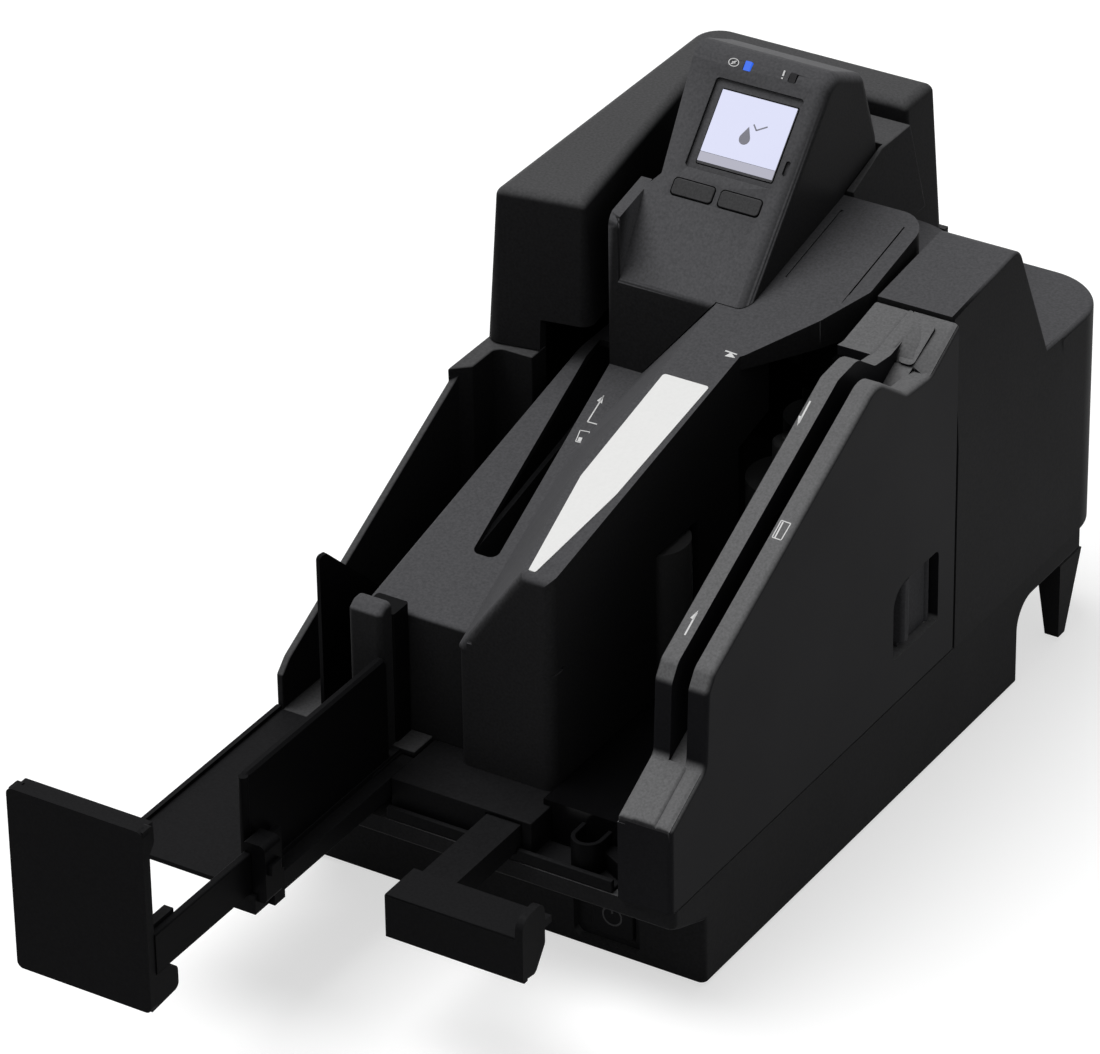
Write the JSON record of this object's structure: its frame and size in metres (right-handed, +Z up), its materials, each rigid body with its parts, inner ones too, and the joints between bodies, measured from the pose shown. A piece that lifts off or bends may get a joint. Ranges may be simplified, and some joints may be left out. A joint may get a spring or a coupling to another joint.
{
  "type": "cheque scanner",
  "caption": "Desktop cheque scanner with an edge-standing hopper, output pocket and stacker, card slot, card swipe slot, tilted display and hinged covers.",
  "frame": {"origin": "centre of the whole machine's footprint, at the soles of its rubber feet", "axes": "+Z up, +Y from the stacker plate towards the machine's rear, +X towards the swipe slot's side"},
  "size_m": [0.14, 0.367, 0.1915],
  "materials": {
    "base_pan": "fine-textured charcoal moulded plastic",
    "case_screws": "turned steel",
    "centre_cover": "fine-textured charcoal moulded plastic",
    "chassis_plate": "zinc-grey sheet",
    "data_sockets": "glossy black",
    "drive_belt": "matt black rubber",
    "exit_drive_roller": "matt black rubber",
    "exit_pinch_roller": "plain dark acetal",
    "feed_motor": "turned steel",
    "feed_roller": "matt black rubber",
    "feeder_tray": "fine-textured charcoal moulded plastic",
    "front_shelf": "fine-textured charcoal moulded plastic",
    "guide_plate": "satin black",
    "head_housing": "fine-textured charcoal moulded plastic",
    "hinge_pins": "turned steel",
    "hopper_post": "fine-textured charcoal moulded plastic",
    "hopper_pusher": "satin black",
    "ink_lid": "fine-textured charcoal moulded plastic",
    "ink_reader_head": "turned steel",
    "inner_guide": "fine-textured charcoal moulded plastic",
    "instruction_label": "white film",
    "island_deck": "fine-textured charcoal moulded plastic",
    "latch_lever": "fine-textured charcoal moulded plastic",
    "left_key": "fine-textured charcoal moulded plastic",
    "main_board": "green laminate",
    "motor_pulley": "plain dark acetal",
    "outer_guide": "fine-textured charcoal moulded plastic",
    "output_tray": "fine-textured charcoal moulded plastic",
    "pick_roller": "matt black rubber",
    "pocket_case": "fine-textured charcoal moulded plastic",
    "pocket_post": "satin black",
    "post_cap": "fine-textured charcoal moulded plastic",
    "power_button": "fine-textured charcoal moulded plastic",
    "print_cartridge": "fine-textured charcoal moulded plastic",
    "rail_clip": "satin black",
    "rear_case": "fine-textured charcoal moulded plastic",
    "rear_drive_roller": "matt black rubber",
    "rear_hood": "fine-textured charcoal moulded plastic",
    "rear_pinch_roller": "plain dark acetal",
    "rear_right_cover": "fine-textured charcoal moulded plastic",
    "retard_roller": "plain dark acetal",
    "ridge_cover": "fine-textured charcoal moulded plastic",
    "right_drive_roller": "matt black rubber",
    "right_key": "fine-textured charcoal moulded plastic",
    "right_pinch_roller": "plain dark acetal",
    "roller_shafts": "turned steel",
    "rubber_feet": "matt black rubber",
    "scan_bars": "glossy black",
    "screen_panel": "pale lit display",
    "separator_block": "glossy black",
    "stack_flap": "satin black",
    "stacker_plate": "fine-textured charcoal moulded plastic",
    "stacker_rail": "satin black",
    "status_lenses": "clear blue lens",
    "supply_jack": "glossy black",
    "swipe_cover": "fine-textured charcoal moulded plastic",
    "swipe_head": "glossy black",
    "swipe_inner_wall": "fine-textured charcoal moulded plastic",
    "track_bed": "glossy black",
    "unit_pins": "turned steel"
  },
  "bodies": {
    "case": {"base_pan": "base_pan", "case_screws": "case_screws", "centre_cover": "centre_cover", "chassis_plate": "chassis_plate", "data_sockets": "data_sockets", "drive_belt": "drive_belt", "feed_motor": "feed_motor", "front_shelf": "front_shelf", "guide_plate": "guide_plate", "head_housing": "head_housing", "hinge_pins": "hinge_pins", "hopper_post": "hopper_post", "ink_reader_head": "ink_reader_head", "inner_guide": "inner_guide", "instruction_label": "instruction_label", "island_deck": "island_deck", "main_board": "main_board", "outer_guide": "outer_guide", "output_tray": "output_tray", "pocket_case": "pocket_case", "pocket_post": "pocket_post", "post_cap": "post_cap", "print_cartridge": "print_cartridge", "rail_clip": "rail_clip", "rear_case": "rear_case", "rear_right_cover": "rear_right_cover", "ridge_cover": "ridge_cover", "roller_shafts": "roller_shafts", "rubber_feet": "rubber_feet", "scan_bars": "scan_bars", "screen_panel": "screen_panel", "separator_block": "separator_block", "status_lenses": "status_lenses", "supply_jack": "supply_jack", "track_bed": "track_bed"},
    "power_button": {"power_button": "power_button"},
    "left_key": {"left_key": "left_key"},
    "right_key": {"right_key": "right_key"},
    "ink_lid": {"ink_lid": "ink_lid"},
    "rear_hood": {"rear_hood": "rear_hood"},
    "stacker": {"stacker_plate": "stacker_plate", "stacker_rail": "stacker_rail"},
    "stack_flap": {"stack_flap": "stack_flap"},
    "feeder_tray": {"feeder_tray": "feeder_tray"},
    "swipe_unit": {"swipe_cover": "swipe_cover", "swipe_inner_wall": "swipe_inner_wall", "swipe_head": "swipe_head", "unit_pins": "unit_pins"},
    "latch_lever": {"latch_lever": "latch_lever"},
    "hopper_pusher": {"hopper_pusher": "hopper_pusher"},
    "feed_roller": {"feed_roller": "feed_roller"},
    "pick_roller": {"pick_roller": "pick_roller"},
    "right_drive_roller": {"right_drive_roller": "right_drive_roller"},
    "rear_drive_roller": {"rear_drive_roller": "rear_drive_roller"},
    "exit_drive_roller": {"exit_drive_roller": "exit_drive_roller"},
    "motor_pulley": {"motor_pulley": "motor_pulley"},
    "retard_roller": {"retard_roller": "retard_roller"},
    "right_pinch_roller": {"right_pinch_roller": "right_pinch_roller"},
    "rear_pinch_roller": {"rear_pinch_roller": "rear_pinch_roller"},
    "exit_pinch_roller": {"exit_pinch_roller": "exit_pinch_roller"}
  },
  "joints": [
    {"name": "power_press", "type": "slide", "parent": "case", "child": "power_button", "axis": [0, 1, 0], "range_m": [0, 0.0012], "stiffness_N_per_m": 600},
    {"name": "left_key_press", "type": "slide", "parent": "case", "child": "left_key", "axis": [0, 0.7386, -0.6741], "range_m": [0, 0.0008], "stiffness_N_per_m": 500},
    {"name": "right_key_press", "type": "slide", "parent": "case", "child": "right_key", "axis": [0, 0.7386, -0.6741], "range_m": [0, 0.0008], "stiffness_N_per_m": 500},
    {"name": "ink_lid_hinge", "type": "hinge", "parent": "case", "child": "ink_lid", "pos_m": [0.025, 0.1143, 0.14835], "axis": [-1, 0, 0], "range_deg": [0, 100]},
    {"name": "rear_hood_hinge", "type": "hinge", "parent": "case", "child": "rear_hood", "pos_m": [-0.0285, 0.177, 0.1165], "axis": [-1, 0, 0], "range_deg": [0, 70]},
    {"name": "stacker_slide", "type": "slide", "parent": "case", "child": "stacker", "axis": [0, 1, 0], "range_m": [0, 0.03]},
    {"name": "stack_flap_hinge", "type": "hinge", "parent": "case", "child": "stack_flap", "pos_m": [-0.0479, -0.023, 0.06], "axis": [0, 0, 1], "range_deg": [0, 8], "stiffness_Nm_per_rad": 0.02},
    {"name": "feeder_tray_slide", "type": "slide", "parent": "case", "child": "feeder_tray", "axis": [0, 1, 0], "range_m": [0, 0.029]},
    {"name": "swipe_unit_hinge", "type": "hinge", "parent": "case", "child": "swipe_unit", "pos_m": [0.0604, -0.068, 0.045], "axis": [0, 0, -1], "range_deg": [0, 60]},
    {"name": "latch_hinge", "type": "hinge", "parent": "swipe_unit", "child": "latch_lever", "pos_m": [0.0667, 0.0729, 0.0612], "axis": [0, 0, 1], "range_deg": [0, 25], "stiffness_Nm_per_rad": 0.05},
    {"name": "pusher_hinge", "type": "hinge", "parent": "swipe_unit", "child": "hopper_pusher", "pos_m": [0.0512, 0.0441, 0.069], "axis": [0, 0, -1], "range_deg": [0, 15], "stiffness_Nm_per_rad": 0.05},
    {"name": "feed_roller_spin", "type": "hinge", "parent": "case", "child": "feed_roller", "pos_m": [0.02815, 0.0615, 0.075], "axis": [0, 0, 1], "continuous": true},
    {"name": "pick_roller_spin", "type": "hinge", "parent": "case", "child": "pick_roller", "pos_m": [0.012, 0.0135, 0.075], "axis": [0, 0, 1], "continuous": true},
    {"name": "right_drive_roller_spin", "type": "hinge", "parent": "case", "child": "right_drive_roller", "pos_m": [0.03015, 0.1035, 0.075], "axis": [0, 0, 1], "continuous": true},
    {"name": "rear_drive_roller_spin", "type": "hinge", "parent": "case", "child": "rear_drive_roller", "pos_m": [-0.004, 0.13515, 0.075], "axis": [0, 0, 1], "continuous": true},
    {"name": "exit_drive_roller_spin", "type": "hinge", "parent": "case", "child": "exit_drive_roller", "pos_m": [-0.03865, 0.1105, 0.075], "axis": [0, 0, 1], "continuous": true},
    {"name": "motor_pulley_spin", "type": "hinge", "parent": "case", "child": "motor_pulley", "pos_m": [-0.03, 0.0835, 0.041], "axis": [0, 0, 1], "continuous": true},
    {"name": "retard_roller_spin", "type": "hinge", "parent": "case", "child": "retard_roller", "pos_m": [0.04675, 0.0615, 0.075], "axis": [0, 0, 1], "continuous": true},
    {"name": "right_pinch_roller_spin", "type": "hinge", "parent": "case", "child": "right_pinch_roller", "pos_m": [0.04905, 0.1035, 0.075], "axis": [0, 0, 1], "continuous": true},
    {"name": "rear_pinch_roller_spin", "type": "hinge", "parent": "case", "child": "rear_pinch_roller", "pos_m": [-0.004, 0.15405, 0.075], "axis": [0, 0, 1], "continuous": true},
    {"name": "exit_pinch_roller_spin", "type": "hinge", "parent": "case", "child": "exit_pinch_roller", "pos_m": [-0.05755, 0.1105, 0.075], "axis": [0, 0, 1], "continuous": true}
  ],
  "couplings": [
    {"joint": "pick_roller_spin", "follows": "feed_roller_spin", "ratio": 1.1091},
    {"joint": "right_drive_roller_spin", "follows": "feed_roller_spin", "ratio": 1.1961},
    {"joint": "rear_drive_roller_spin", "follows": "feed_roller_spin", "ratio": 1.1961},
    {"joint": "exit_drive_roller_spin", "follows": "feed_roller_spin", "ratio": 1.1961},
    {"joint": "motor_pulley_spin", "follows": "feed_roller_spin", "ratio": 1.22},
    {"joint": "retard_roller_spin", "follows": "feed_roller_spin", "ratio": -2},
    {"joint": "right_pinch_roller_spin", "follows": "feed_roller_spin", "ratio": -1.4524},
    {"joint": "rear_pinch_roller_spin", "follows": "feed_roller_spin", "ratio": -1.4524},
    {"joint": "exit_pinch_roller_spin", "follows": "feed_roller_spin", "ratio": -1.4524}
  ]
}
